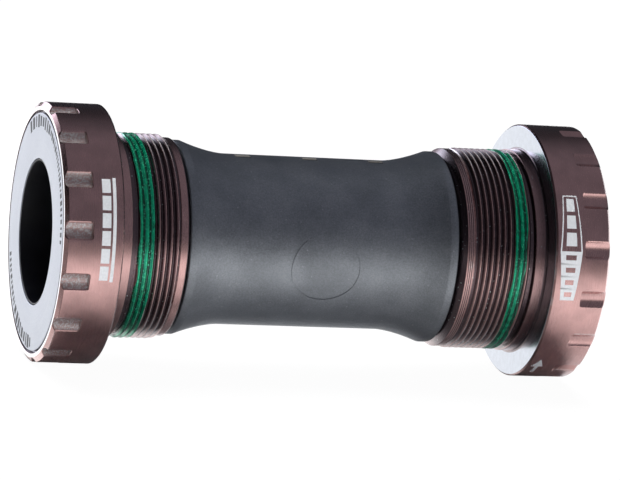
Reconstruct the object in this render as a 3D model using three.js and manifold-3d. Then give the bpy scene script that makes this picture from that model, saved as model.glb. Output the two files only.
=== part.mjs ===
// External-bearing bicycle bottom bracket: two threaded cups that hold sealed 6805 bearings,
// joined by a moulded sleeve. Millimetres. +X runs along the spindle axis towards the drive side
// and +Z is up. The origin is midway between the two shell faces.
import * as THREE from 'three';
import { mergeVertices } from 'three/addons/utils/BufferGeometryUtils.js';
import Module from 'manifold-3d';

const wasm = await Module();
wasm.setup();

// ---- driving dimensions ----
const SHELL_FACE = 75.5 / 2;        // 73 mm shell plus one 2.5 mm spacer, or 68 mm plus three
const FLANGE_WIDTH = 10;
const FLANGE_R = 22;                // 44 mm wrench flange
const NOTCHES = 16;
const NOTCH_LENGTH = 4.7;
const NOTCH_DEPTH = 0.8;
const NOTCH_WIDTH = 3;
const THREAD_R = 17.4;              // 1.37 in major diameter
const THREAD_DEPTH = 0.6;
const PITCH = 25.4 / 24;            // 24 threads per inch
const SPINDLE_R = 12;               // 24 mm crank spindle
const BEARING = { bore: 12.5, outer: 18.5, width: 7, ballR: 1.75, pitchR: 15.5, balls: 15 };
const SLEEVE_MIDDLE = -1.4;         // off centre, because the drive cup reaches further into the shell

// Each cup's barrel, as distances inboard of its shell face; hand is 1 for a right-hand thread.
const DRIVE = {
  reach: 15.2,
  neckEnd: 2,
  threadStart: 2.55,
  leadLength: 2.4,
  leadR: 17.2,
  endChamfer: [1, 1.3],
  hand: -1,
};
const NON_DRIVE = {
  reach: 12.4,
  neckEnd: 2.45,
  threadStart: 3.35,
  leadLength: 1.5,
  leadR: 16.9,
  endChamfer: [0.25, 0.2],
  hand: 1,
};

// ---- fits and finish ----
const SEGMENTS = 32;                // around every turned piece, so nested pieces share their facets
const PRESS_GAP = 0.05;             // between pieces of one body
const RUN_GAP = 0.15;               // between pieces that turn past each other
const CHAMFER = 0.3;

const COLOURS = {
  cup: { color: 0x6b4f50, roughness: 0.38, metalness: 0.85 },
  cover: { color: 0xdde2ea, roughness: 0.35, metalness: 0.7 },
  sleeve: { color: 0x3e4248, roughness: 0.6, metalness: 0 },
  bush: { color: 0x1a1b1e, roughness: 0.5, metalness: 0 },
  seal: { color: 0x15171a, roughness: 0.7, metalness: 0 },
  steel: { color: 0xc4c8cc, roughness: 0.2, metalness: 1 },
  cage: { color: 0x8a6a3a, roughness: 0.5, metalness: 0 },
};

const assembly = new THREE.Group();

// ---- helpers ----
function addMesh(name, geometry, look) {
  const mesh = new THREE.Mesh(geometry, new THREE.MeshStandardMaterial(COLOURS[look]));
  mesh.name = name;
  assembly.add(mesh);
}

// A closed profile of [axial, radius] points, turned about the X axis.
function turned(profile, segments = SEGMENTS) {
  const signedArea = profile.reduce((sum, [x, r], i) => {
    const [nextX, nextR] = profile[(i + 1) % profile.length];
    return sum + x * nextR - nextX * r;
  }, 0);
  const ordered = signedArea > 0 ? [...profile].reverse() : profile;
  const points = [...ordered, ordered[0]].map(([x, r]) => new THREE.Vector2(r, x));
  const geometry = new THREE.LatheGeometry(points, segments);
  geometry.rotateZ(-Math.PI / 2);
  return geometry;
}

function merged(geometry) {
  const bare = geometry.clone();
  bare.deleteAttribute('normal');
  bare.deleteAttribute('uv');
  return mergeVertices(bare, 1e-4);
}

function toSolid(geometry) {
  const shared = merged(geometry);
  const mesh = new wasm.Mesh({
    numProp: 3,
    vertProperties: new Float32Array(shared.attributes.position.array),
    triVerts: new Uint32Array(shared.index.array),
  });
  return new wasm.Manifold(mesh);
}

function toGeometry(solid) {
  const mesh = solid.getMesh();
  const geometry = new THREE.BufferGeometry();
  geometry.setAttribute('position', new THREE.BufferAttribute(new Float32Array(mesh.vertProperties), 3));
  geometry.setIndex(new THREE.BufferAttribute(new Uint32Array(mesh.triVerts), 1));
  geometry.computeVertexNormals();
  return geometry;
}

function flipped(geometry) {
  const index = geometry.index.array;
  for (let i = 0; i < index.length; i += 3) {
    [index[i], index[i + 1]] = [index[i + 1], index[i]];
  }
  return geometry;
}

// Moves a piece of one side to its place. On the non-drive side it is mirrored,
// and its faces still point out.
function placed(geometry, side, faceX) {
  const moved = geometry.clone();
  if (side < 0) {
    moved.scale(-1, 1, 1);
    flipped(moved);
  }
  moved.translate(side * faceX, 0, 0);
  return moved;
}

// A solid screw with a V thread: root and crest lines run along two helices,
// and each end is a fan to the axis.
// helix is 1 where the crests advance along +X as they turn from +Y towards +Z.
function screwStud(start, length, helix) {
  const steps = Math.ceil((length / PITCH + 2) * SEGMENTS);
  const firstX = start - PITCH;
  const positions = [];
  for (let step = 0; step <= steps; step += 1) {
    const turns = step / SEGMENTS;
    const angle = helix * turns * 2 * Math.PI;
    const x = firstX + turns * PITCH;
    positions.push(x, ROOT_R * Math.cos(angle), ROOT_R * Math.sin(angle));
    positions.push(x + PITCH / 2, THREAD_R * Math.cos(angle), THREAD_R * Math.sin(angle));
  }
  const root = (step) => 2 * step;
  const crest = (step) => 2 * step + 1;
  const lowEnd = 2 * (steps + 1);
  const highEnd = lowEnd + 1;
  positions.push(firstX, 0, 0, firstX + (steps / SEGMENTS) * PITCH, 0, 0);
  const index = [];
  for (let step = 0; step < steps; step += 1) {
    index.push(root(step), root(step + 1), crest(step), root(step + 1), crest(step + 1), crest(step));
  }
  for (let step = 0; step < steps - SEGMENTS; step += 1) {
    const next = step + SEGMENTS;
    index.push(crest(step), crest(step + 1), root(next), crest(step + 1), root(next + 1), root(next));
  }
  for (let step = 0; step < SEGMENTS; step += 1) {
    const top = steps - SEGMENTS + step;
    index.push(lowEnd, root(step + 1), root(step), highEnd, crest(top), crest(top + 1));
  }
  index.push(lowEnd, crest(0), root(SEGMENTS), lowEnd, root(0), crest(0));
  index.push(highEnd, crest(steps), root(steps), highEnd, root(steps), crest(steps - SEGMENTS));
  const geometry = new THREE.BufferGeometry();
  geometry.setAttribute('position', new THREE.BufferAttribute(new Float32Array(positions), 3));
  geometry.setIndex(index);
  return helix < 0 ? flipped(geometry) : geometry;
}

// ---- cup: flange, neck, threaded barrel and bearing seat ----
// x = 0 at the shell face, outboard positive
const OUTER_BEVEL = 0.55;
const RECESS_R = 20.55;
const COVER_SEAT = FLANGE_WIDTH - 1.15;
const CAVITY_R = 19.2;
const SEAT_START = 1.25;
const SEAT_END = SEAT_START + BEARING.width;
const BARREL_BORE_R = 15.2;
const NECK_R = 17.6;
const NECK_FILLET = 0.2;
const NECK_STEP = 0.12;
const ROOT_R = THREAD_R - THREAD_DEPTH;
const CORE_R = ROOT_R - 0.1;        // the turned core stays just under the thread's root

function cupProfile(barrel) {
  const seatR = BEARING.outer + PRESS_GAP;
  const threadEnd = -(barrel.reach - barrel.leadLength);
  const [chamferLength, chamferDepth] = barrel.endChamfer;
  return [
    [FLANGE_WIDTH, RECESS_R],
    [FLANGE_WIDTH, FLANGE_R - NOTCH_DEPTH],
    [FLANGE_WIDTH - OUTER_BEVEL, FLANGE_R],
    [CHAMFER, FLANGE_R],
    [0, FLANGE_R - CHAMFER],
    [0, NECK_R + NECK_FILLET],
    [-NECK_FILLET, NECK_R],
    [-barrel.neckEnd, NECK_R],
    [-barrel.neckEnd - NECK_STEP, CORE_R],
    [-barrel.threadStart, CORE_R],
    [threadEnd, CORE_R],
    [threadEnd, barrel.leadR],
    [-(barrel.reach - chamferLength), barrel.leadR],
    [-barrel.reach, barrel.leadR - chamferDepth],
    [-barrel.reach, BARREL_BORE_R],
    [SEAT_START, BARREL_BORE_R],
    [SEAT_START, seatR],
    [SEAT_END, seatR],
    [SEAT_END, CAVITY_R],
    [COVER_SEAT, CAVITY_R],
    [COVER_SEAT, RECESS_R],
  ];
}

// A round-bottomed trough that opens at the outer face, for the splines of the installation tool.
function notchCutter(angle) {
  const halfWidth = NOTCH_WIDTH / 2;
  const troughR = (halfWidth ** 2 + NOTCH_DEPTH ** 2) / (2 * NOTCH_DEPTH);
  const overrun = 2;
  const sides = 20;
  const length = NOTCH_LENGTH + overrun;
  const geometry = new THREE.CylinderGeometry(troughR, troughR, length, sides);
  geometry.rotateZ(Math.PI / 2);
  geometry.translate(FLANGE_WIDTH - NOTCH_LENGTH + length / 2, 0, FLANGE_R - NOTCH_DEPTH + troughR);
  geometry.rotateX(angle);
  return geometry;
}

// The part of space where the thread is kept: a ring round the barrel, sunk a little into the core.
function threadZone(threadEnd, threadStart) {
  const innerR = BARREL_BORE_R + 0.5;
  const outerR = THREAD_R + 1;
  const overlap = 0.05;
  return turned([
    [threadEnd - overlap, innerR],
    [threadEnd - overlap, outerR],
    [threadStart, outerR],
    [threadStart, innerR],
  ]);
}

function makeCup(barrel, helix) {
  const threadStart = -barrel.threadStart;
  const threadEnd = -(barrel.reach - barrel.leadLength);
  const stud = toSolid(screwStud(threadEnd, threadStart - threadEnd, helix));
  const thread = stud.intersect(toSolid(threadZone(threadEnd, threadStart)));
  let cup = toSolid(turned(cupProfile(barrel))).add(thread);
  for (let i = 0; i < NOTCHES; i += 1) {
    cup = cup.subtract(toSolid(notchCutter(((i + 0.5) / NOTCHES) * 2 * Math.PI)));
  }
  return toGeometry(cup);
}

// ---- bearing: rings with ball grooves, cage with round windows, balls and lip seals ----
// x = 0 at mid width
const GROOVE_R = 1.95;
const INNER_SHOULDER_R = 14.1;
const OUTER_SHOULDER_R = 16.9;
const CAGE_HALF_WIDTH = 2.3;
const CAGE_HALF_WALL = 0.65;

function grooveArc(shoulderR, outward) {
  const reach = Math.acos(Math.abs(shoulderR - BEARING.pitchR) / GROOVE_R);
  const points = [];
  const chords = 3;
  for (let i = 0; i <= chords; i += 1) {
    const angle = ((2 * i) / chords - 1) * reach;
    points.push([GROOVE_R * Math.sin(angle), BEARING.pitchR + outward * GROOVE_R * Math.cos(angle)]);
  }
  return points;
}

function bearingRing(backR, shoulderR, outward) {
  const half = BEARING.width / 2;
  return turned([
    [-half, backR],
    [-half, shoulderR],
    ...grooveArc(shoulderR, outward),
    [half, shoulderR],
    [half, backR],
  ]);
}

function ballCage() {
  const innerR = BEARING.pitchR - CAGE_HALF_WALL;
  const outerR = BEARING.pitchR + CAGE_HALF_WALL;
  let cage = toSolid(turned([
    [-CAGE_HALF_WIDTH, innerR],
    [-CAGE_HALF_WIDTH, outerR],
    [CAGE_HALF_WIDTH, outerR],
    [CAGE_HALF_WIDTH, innerR],
  ], 2 * BEARING.balls));
  const windowR = BEARING.ballR + RUN_GAP;
  const cutLength = 4;
  const sides = 8;
  for (let i = 0; i < BEARING.balls; i += 1) {
    const window = new THREE.CylinderGeometry(windowR, windowR, cutLength, sides);
    window.rotateX(Math.PI / 2);
    window.translate(0, 0, BEARING.pitchR);
    window.rotateX(ballAngle(i));
    cage = cage.subtract(toSolid(window));
  }
  return toGeometry(cage);
}

function ballAngle(i) {
  return (i / BEARING.balls) * 2 * Math.PI;
}

function bearingBall(i) {
  const ball = new THREE.OctahedronGeometry(BEARING.ballR, 1);
  ball.translate(0, 0, BEARING.pitchR);
  ball.rotateX(ballAngle(i));
  return merged(ball);
}

function lipSeal(side) {
  const face = BEARING.width / 2 - 0.15;
  const back = face - 0.6;
  const lipR = INNER_SHOULDER_R + 0.2;
  const rimR = OUTER_SHOULDER_R - PRESS_GAP;
  return turned([
    [side * face, lipR],
    [side * face, rimR],
    [side * back, rimR],
    [side * back, lipR],
  ]);
}

// ---- spindle bush: adapts the 25 mm bearing bore to the 24 mm spindle ----
// Its flange throws water off the bearing.
function spindleBush() {
  const start = SEAT_START + 0.2;
  const flangeStart = SEAT_END + PRESS_GAP;
  const flangeEnd = flangeStart + 0.4;
  const tip = FLANGE_WIDTH - 0.15;
  const boreR = SPINDLE_R + 0.05;
  const barrelR = BEARING.bore - PRESS_GAP;
  const flangeR = 14;
  const lipR = SPINDLE_R + 0.25;
  return turned([
    [start, boreR],
    [start, barrelR],
    [flangeStart, barrelR],
    [flangeStart, flangeR],
    [flangeEnd, flangeR],
    [flangeEnd, lipR],
    [tip, lipR],
    [tip, boreR],
  ]);
}

// ---- cover disc: pressed into the recess of the cup's outer face ----
function coverDisc() {
  const back = COVER_SEAT + PRESS_GAP;
  const rimFace = back + 0.35;
  const boreR = SPINDLE_R + 0.4;
  const faceR = 20.1;
  const rimR = RECESS_R - PRESS_GAP;
  return turned([
    [back, boreR],
    [back, rimR],
    [rimFace, rimR],
    [rimFace, faceR],
    [FLANGE_WIDTH, faceR],
    [FLANGE_WIDTH, boreR],
  ]);
}

// ---- O-ring in the groove of the sleeve's spigot ----
// x = 0 at its middle
const SPIGOT_R = 14.8;
const RING_SECTION_R = 0.55;
const RING_R = BARREL_BORE_R - RUN_GAP - RING_SECTION_R;

function oRing() {
  const points = [];
  const sides = 6;
  for (let i = 0; i < sides; i += 1) {
    const angle = ((i + 0.5) / sides) * 2 * Math.PI;
    points.push([RING_SECTION_R * Math.cos(angle), RING_R + RING_SECTION_R * Math.sin(angle)]);
  }
  return turned(points);
}

// ---- sleeve: waisted tube with a land, a shoulder and a grooved spigot at each end ----
// x = 0 at its middle
const SHOULDER = 23.65;
const SPIGOT_LENGTH = 7.5;
const GROOVE_MIDDLE = SHOULDER + 4.5;
const WAIST_R = 14.6;
const WAIST_END = 14.2;
const LAND_R = 16.55;
const LAND_START = SHOULDER - 1.35;
const LAND_BEVEL = 0.2;
const SLEEVE_BORE_R = 13;
const MOUTH_R = 13.2;
const TIP_BEVEL = [0.5, 0.4];

// The surface from the waist out to the land: it leaves the waist gently and meets the land at an edge.
function sleeveFlare() {
  const steps = 4;
  const steepness = 1.6;
  const points = [];
  for (let i = 0; i <= steps; i += 1) {
    const t = i / steps;
    const rise = t ** steepness;
    points.push([WAIST_END + t * (LAND_START - WAIST_END), WAIST_R + rise * (LAND_R - WAIST_R)]);
  }
  return points;
}

function sleeveHalf() {
  const grooveHalf = RING_SECTION_R + 0.2;
  const grooveR = RING_R - RING_SECTION_R - 0.1;
  const end = SHOULDER + SPIGOT_LENGTH;
  return [
    ...sleeveFlare(),
    [SHOULDER - LAND_BEVEL, LAND_R],
    [SHOULDER, LAND_R - LAND_BEVEL],
    [SHOULDER, SPIGOT_R],
    [GROOVE_MIDDLE - grooveHalf, SPIGOT_R],
    [GROOVE_MIDDLE - grooveHalf, grooveR],
    [GROOVE_MIDDLE + grooveHalf, grooveR],
    [GROOVE_MIDDLE + grooveHalf, SPIGOT_R],
    [end - TIP_BEVEL[0], SPIGOT_R],
    [end, SPIGOT_R - TIP_BEVEL[1]],
    [end, MOUTH_R],
    [SHOULDER - 2, SLEEVE_BORE_R],
  ];
}

function centerSleeve() {
  const right = sleeveHalf();
  const left = right.map(([x, r]) => [-x, r]).reverse();
  return turned([...right, ...left]);
}

// ---- assembly ----
const BEARING_MIDDLE = SEAT_START + BEARING.width / 2;

function addSide(label, side, barrel) {
  const inCup = (geometry) => placed(geometry, side, SHELL_FACE);
  const inBearing = (geometry) => placed(geometry, side, SHELL_FACE + BEARING_MIDDLE);
  addMesh(`${label}_cup`, inCup(makeCup(barrel, barrel.hand * side)), 'cup');
  addMesh(`${label}_cover_disc`, inCup(coverDisc()), 'cover');
  addMesh(`${label}_outer_ring`, inBearing(bearingRing(BEARING.outer, OUTER_SHOULDER_R, 1)), 'steel');
  addMesh(`${label}_inner_ring`, inBearing(bearingRing(BEARING.bore, INNER_SHOULDER_R, -1)), 'steel');
  addMesh(`${label}_ball_cage`, inBearing(ballCage()), 'cage');
  for (let i = 0; i < BEARING.balls; i += 1) {
    const number = String(i + 1).padStart(2, '0');
    addMesh(`${label}_ball_${number}`, inBearing(bearingBall(i)), 'steel');
  }
  addMesh(`${label}_outboard_seal`, inBearing(lipSeal(1)), 'seal');
  addMesh(`${label}_inboard_seal`, inBearing(lipSeal(-1)), 'seal');
  addMesh(`${label}_spindle_bush`, inCup(spindleBush()), 'bush');
  addMesh(`${label}_o_ring`, placed(oRing(), side, GROOVE_MIDDLE + side * SLEEVE_MIDDLE), 'seal');
}

addSide('drive', 1, DRIVE);
addSide('non_drive', -1, NON_DRIVE);
const sleeve = centerSleeve();
sleeve.translate(SLEEVE_MIDDLE, 0, 0);
addMesh('center_sleeve', sleeve, 'sleeve');

export default assembly;
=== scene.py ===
import math
import random

import bmesh
import bpy
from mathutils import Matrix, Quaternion, Vector, noise


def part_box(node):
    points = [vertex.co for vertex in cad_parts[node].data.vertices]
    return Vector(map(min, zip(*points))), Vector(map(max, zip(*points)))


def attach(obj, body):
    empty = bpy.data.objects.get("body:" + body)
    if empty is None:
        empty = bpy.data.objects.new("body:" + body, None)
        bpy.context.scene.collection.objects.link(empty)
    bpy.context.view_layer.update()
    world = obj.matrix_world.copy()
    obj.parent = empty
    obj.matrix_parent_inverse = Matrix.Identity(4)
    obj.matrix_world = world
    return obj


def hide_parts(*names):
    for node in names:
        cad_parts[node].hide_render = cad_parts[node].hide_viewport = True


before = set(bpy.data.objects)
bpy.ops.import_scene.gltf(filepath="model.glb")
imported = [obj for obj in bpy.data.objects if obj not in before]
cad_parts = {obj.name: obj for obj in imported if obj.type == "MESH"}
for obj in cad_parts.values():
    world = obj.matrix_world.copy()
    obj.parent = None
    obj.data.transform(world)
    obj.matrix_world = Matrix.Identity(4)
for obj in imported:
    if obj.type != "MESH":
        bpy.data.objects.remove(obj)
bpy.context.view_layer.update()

# ---- sizes, in millimetres; u is the distance outboard of a cup's shell face ----
MM = 0.001
TURN = 2 * math.pi
PITCH = 25.4 / 24
THREAD_R = 17.4
THREAD_DEPTH = 0.6
ROOT_R = THREAD_R - THREAD_DEPTH
FLANGE_WIDTH = 10
FLANGE_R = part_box("drive_cup")[1].z / MM
SHELL_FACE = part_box("drive_cup")[1].x / MM - FLANGE_WIDTH
NOTCHES = 16
NOTCH_END = FLANGE_WIDTH - 4.7
NOTCH_DEPTH = 0.8
NOTCH_HALF = 1.5
RECESS_R = 20.55
CAVITY_R = 19.2
COVER_SEAT = FLANGE_WIDTH - 1.15
BARREL_BORE_R = 15.2
SEAT_START = 1.25
BEARING_WIDTH = 7
BEARING_MIDDLE = SEAT_START + BEARING_WIDTH / 2
BEARING_BORE_R = 12.5
BEARING_OUTER_R = 18.5
INNER_SHOULDER_R = 14.1
OUTER_SHOULDER_R = 16.9
NECK_R = 17.6
BALLS = 15
BALL_R = 1.75
BALL_PITCH_R = 15.5
SPINDLE_R = 12
ROOT_CUT = -1.2
# the lowest cut of a turned row, which the shaders paint as the darkest shade
PAINTED_SHADE_CUT = -1.1


class Side:
    """One cup: its name, its direction along X, its thread and the features of its barrel."""

    def __init__(self, name, sign, hand):
        low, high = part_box(name + "_cup")
        self.name = name
        self.sign = sign
        self.helix = hand * sign
        self.reach = SHELL_FACE - min(abs(low.x), abs(high.x)) / MM

    def barrel(
        self, neck_end, thread_start, lead_length, crest, lead_r, end_chamfer, neck_shade, turned_lines,
    ):
        """Sets the barrel's features; neck_end, thread_start and crest are values of u.

        crest is where one thread crest passes the top of the cup."""
        self.neck_end = neck_end
        self.thread_start = thread_start
        self.thread_end = lead_length - self.reach
        self.crest = crest
        self.lead_r = lead_r
        self.end_chamfer = end_chamfer
        self.neck_shade = neck_shade
        self.turned_lines = turned_lines
        return self

    def x(self, u):
        return self.sign * (SHELL_FACE + u)

    def piece(self, part):
        return f"{self.name}_{part}"


DRIVE = Side("drive", sign=1, hand=-1).barrel(
    neck_end=-2.0,
    thread_start=-2.55,
    lead_length=2.4,
    crest=-3.07,
    lead_r=17.2,
    end_chamfer=(1.0, 1.3),
    neck_shade=-0.42,
    turned_lines=3,
)
NON_DRIVE = Side("non_drive", sign=-1, hand=1).barrel(
    neck_end=-2.45,
    thread_start=-3.35,
    lead_length=1.5,
    crest=-3.78,
    lead_r=16.9,
    end_chamfer=(0.25, 0.2),
    neck_shade=0,
    turned_lines=0,
)


# ---- mesh helpers ----
def rounded(corners, steps=4):
    """A closed outline of (axial, radius, fillet) corners, with each fillet drawn as a small arc."""
    points = []
    for i, (u, r, fillet) in enumerate(corners):
        here = Vector((u, r))
        before = Vector(corners[i - 1][:2]) - here
        after = Vector(corners[(i + 1) % len(corners)][:2]) - here
        reach = min(fillet, before.length * 0.45, after.length * 0.45)
        if reach < 1e-4:
            points.append((u, r))
            continue
        start = here + before.normalized() * reach
        end = here + after.normalized() * reach
        for step in range(steps + 1):
            t = step / steps
            p = (1 - t) ** 2 * start + 2 * t * (1 - t) * here + t**2 * end
            points.append((p.x, p.y))
    return points


def even_angles(count):
    return [TURN * i / count for i in range(count + 1)]


def at(x, r, angle):
    """A point in metres. Angle 0 is straight up and a quarter turn faces the front, -Y."""
    return Vector((x, -r * math.sin(angle), r * math.cos(angle))) * MM


def mesh_object(name, bm, sharp=32):
    """Makes a piece from a bmesh: merged, faces out, smooth with sharp edges over the given angle."""
    bmesh.ops.remove_doubles(bm, verts=bm.verts, dist=1e-7)
    bmesh.ops.recalc_face_normals(bm, faces=bm.faces)
    limit = math.radians(sharp)
    for face in bm.faces:
        face.smooth = True
    for edge in bm.edges:
        edge.smooth = edge.calc_face_angle(0) < limit
    mesh = bpy.data.meshes.new(name)
    bm.to_mesh(mesh)
    bm.free()
    piece = bpy.data.objects.new(name, mesh)
    bpy.context.scene.collection.objects.link(piece)
    return piece


def plain(u, r, cut=0):
    return lambda angle: (u, r, cut)


def revolve(name, rows, angles, x_of, material_of=None, sharp=32):
    """A closed body of revolution. rows is a closed loop of functions from an angle to (u, r, cut).

    cut is stored on the mesh for the shaders: it is above 0 in a notch, below 0 in a thread and
    lowest at the thread's root. The shaders paint shade where it is low and a highlight on the crests."""
    bm = bmesh.new()
    share = bm.verts.layers.float.new("cut")
    grid = []
    for row in rows:
        line = []
        for angle in angles:
            u, r, cut = row(angle)
            vert = bm.verts.new(at(x_of(u), r, angle))
            vert[share] = cut
            line.append(vert)
        grid.append(line)
    for j, line in enumerate(grid):
        below = grid[(j + 1) % len(grid)]
        for i in range(len(angles) - 1):
            face = bm.faces.new((line[i], line[i + 1], below[i + 1], below[i]))
            if material_of:
                face.material_index = material_of(j)
    return mesh_object(name, bm, sharp)


def lathe(name, corners, x_of, segments=192, sharp=32, cut_of=lambda u, r: 0):
    """A turned piece from an outline with fillets."""
    rows = [plain(u, r, cut_of(u, r)) for u, r in rounded(corners)]
    return revolve(name, rows, even_angles(segments), x_of, sharp=sharp)


def finished(piece, material, body, slot, *nodes):
    """Gives a piece its material and its body, and hides the CAD nodes it stands for. slot is not used."""
    for m in material if isinstance(material, (list, tuple)) else [material]:
        piece.data.materials.append(m)
    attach(piece, body)
    if nodes:
        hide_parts(*nodes)
    return piece


def smooth_step(t):
    t = min(1, max(0, t))
    return t * t * (3 - 2 * t)


# ---- node helpers ----
class Shader:
    """Short ways to add and join the nodes of one material."""

    def __init__(self, name):
        self.material = bpy.data.materials.new(name)
        self.material.use_nodes = True
        self.tree = self.material.node_tree
        self.tree.nodes.clear()
        self.out = self.tree.nodes.new("ShaderNodeOutputMaterial")

    def node(self, kind, inputs=None, **settings):
        made = self.tree.nodes.new("ShaderNode" + kind)
        for key, value in settings.items():
            setattr(made, key, value)
        for key, value in (inputs or {}).items():
            self.put(made.inputs[key], value)
        return made

    def put(self, socket, value):
        if isinstance(value, bpy.types.NodeSocket):
            self.tree.links.new(value, socket)
        else:
            socket.default_value = value

    def math(self, operation, a, b=0.0):
        return self.node("Math", {0: a, 1: b}, operation=operation).outputs[0]

    def times(self, a, b):
        return self.math("MULTIPLY", a, b)

    def plus(self, a, b):
        return self.math("ADD", a, b)

    def mix(self, share, a, b):
        made = self.node("Mix", {"Factor": share}, data_type="RGBA")
        self.put(made.inputs[6], a)
        self.put(made.inputs[7], b)
        return made.outputs[2]

    def remap(self, value, low, high, to_low=0.0, to_high=1.0):
        inputs = {0: value, 1: low, 2: high, 3: to_low, 4: to_high}
        return self.node("MapRange", inputs).outputs[0]

    def noise(self, vector, scale, detail=3.0, rough=0.5):
        inputs = {"Vector": vector, "Scale": scale, "Detail": detail, "Roughness": rough}
        return self.node("TexNoise", inputs).outputs[0]

    def bump(self, height, distance, strength):
        inputs = {"Height": height, "Distance": distance, "Strength": strength}
        return self.node("Bump", inputs).outputs[0]

    def place(self):
        return self.node("TexCoord").outputs["Object"]

    def cut(self):
        return self.node("Attribute", attribute_name="cut").outputs["Fac"]

    def turning_vector(self, fine, around):
        """Coordinates whose noise is drawn out along the turning direction of a lathe."""
        xyz = self.node("SeparateXYZ", {0: self.place()}).outputs
        square = self.plus(self.math("POWER", xyz[1], 2.0), self.math("POWER", xyz[2], 2.0))
        radius = self.math("MAXIMUM", self.math("SQRT", square), 1e-4)
        feed = self.times(self.plus(xyz[0], radius), fine)
        y = self.times(self.math("DIVIDE", xyz[1], radius), around)
        z = self.times(self.math("DIVIDE", xyz[2], radius), around)
        return self.node("CombineXYZ", {0: feed, 1: y, 2: z}).outputs[0]

    def finish(self, surface):
        self.tree.links.new(surface, self.out.inputs["Surface"])
        return self.material


def rgba(tone, factor=1.0):
    """A colour made darker or lighter by a factor, with its alpha."""
    return tuple(min(1, c * factor) for c in tone) + (1,)


def principled(shader, color, metallic, roughness, normal, **more):
    inputs = {"Base Color": color, "Metallic": metallic, "Roughness": roughness, "Normal": normal}
    for key, value in more.items():
        inputs[key.replace("_", " ")] = value
    return shader.node("BsdfPrincipled", inputs).outputs[0]


# ---- materials ----
def worn_edges(s, color, cut, grit):
    """Bare metal on outside edges, but not in the threads."""
    pointy = s.node("NewGeometry").outputs["Pointiness"]
    edge = s.times(s.remap(pointy, 0.53, 0.60), s.remap(cut, -0.15, -0.02))
    worn = s.times(edge, s.remap(grit, 0.42, 0.6, 0.15, 0.7))
    return s.mix(worn, color, (0.72, 0.64, 0.62, 1))


def painted_root_shade(s, color, cut, grazing):
    """Painted shade, near black, in the thread roots and other low cuts, which fades where they are seen
    edge on.
    """
    root_shade = s.times(s.remap(cut, -0.66, -0.2, 0.92, 0.0), s.remap(grazing, 0.66, 0.88, 1.0, 0.0))
    return s.mix(root_shade, color, (0.04, 0.014, 0.024, 1))


def dusted(s, color, cut):
    """A few pale specks of dried thread-lock in the threads."""
    cells = s.node("TexVoronoi", {"Vector": s.place(), "Scale": 4200.0})
    pick = s.node("SeparateColor", {0: cells.outputs["Color"]}).outputs[0]
    near = s.remap(cells.outputs["Distance"], 0.25, 0.4, 1.0, 0.0)
    dot = s.times(near, s.remap(pick, 0.975, 0.98))
    dust = s.times(dot, s.remap(cut, -0.3, -0.1, 1.0, 0.0))
    return s.mix(dust, color, (0.85, 0.92, 0.88, 1))


def anodised_material(name, tint, roughness, notch_wear):
    """Brown anodised aluminium: lathe lines, blotches, worn edges, painted shade in the thread roots and
    other low cuts, and painted highlights on the thread crests where they are seen edge on.

    notch_wear is how far the floors of the notches are worn to rough bare metal."""
    s = Shader(name)
    lines = s.noise(s.turning_vector(16000, 3), 1.0, 2.0)
    fine_lines = s.noise(s.turning_vector(52000, 9), 1.0, 2.0)
    blotch = s.noise(s.place(), 260.0, 3.0)
    grit = s.noise(s.place(), 5200.0, 2.0, 0.7)
    cut = s.cut()
    grazing = s.node("LayerWeight", {"Blend": 0.5}).outputs["Facing"]
    color = s.mix(s.remap(blotch, 0.35, 0.65), rgba(tint, 0.86), rgba(tint, 1.12))
    color = s.mix(s.remap(lines, 0.3, 0.7, 0.0, 0.28), color, rgba(tint, 0.7))
    color = worn_edges(s, color, cut, grit)
    color = painted_root_shade(s, color, cut, grazing)
    # Painted highlight: the thread crests are painted pale where they are seen edge on.
    crest = s.times(s.remap(cut, -0.32, -0.21), s.remap(cut, -0.19, -0.1, 1.0, 0.0))
    crest = s.times(crest, s.remap(grazing, 0.33, 0.6, 0.0, 0.85))
    color = s.mix(crest, color, (0.95, 0.93, 0.95, 1))
    color = dusted(s, color, cut)
    mottle = s.noise(s.place(), 3000.0, 2.0, 0.7)
    wear = s.remap(mottle, 0.40, 0.56, notch_wear * 0.5, notch_wear)
    bare = s.times(s.remap(cut, 0.35, 0.9), wear)
    rough_floor = s.mix(s.remap(mottle, 0.42, 0.62), (0.12, 0.115, 0.115, 1), (0.48, 0.47, 0.46, 1))
    color = s.mix(bare, color, rough_floor)
    rough = s.plus(s.remap(fine_lines, 0.3, 0.7, -0.05, 0.05), roughness)
    rough = s.plus(rough, s.times(bare, 0.28))
    height = s.plus(s.times(fine_lines, 0.6), s.times(grit, 0.4))
    height = s.plus(height, s.times(s.times(mottle, bare), 6.0))
    normal = s.bump(height, 0.000006, 0.6)
    # The painted crest highlight also lowers the metallic share, as the worn notch floors do.
    metal = s.times(s.remap(bare, 0.0, 1.0, 1.0, 0.35), s.remap(crest, 0.0, 1.0, 1.0, 0.55))
    coat = {"Coat_Weight": 1.0, "Coat_Roughness": 0.24, "Coat_IOR": 1.7}
    return s.finish(principled(s, color, metal, rough, normal, **coat))


def bare_aluminium_material(name, tone):
    """Freshly faced aluminium with fine concentric tool marks."""
    s = Shader(name)
    rings = s.noise(s.turning_vector(30000, 2), 1.0, 2.0)
    haze = s.noise(s.place(), 900.0, 3.0)
    color = s.mix(s.remap(haze, 0.35, 0.65), rgba(tone, 0.93), rgba(tone))
    rough = s.remap(rings, 0.3, 0.7, 0.13, 0.22)
    normal = s.bump(rings, 0.000005, 0.5)
    return s.finish(principled(s, color, 1.0, rough, normal))


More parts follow.
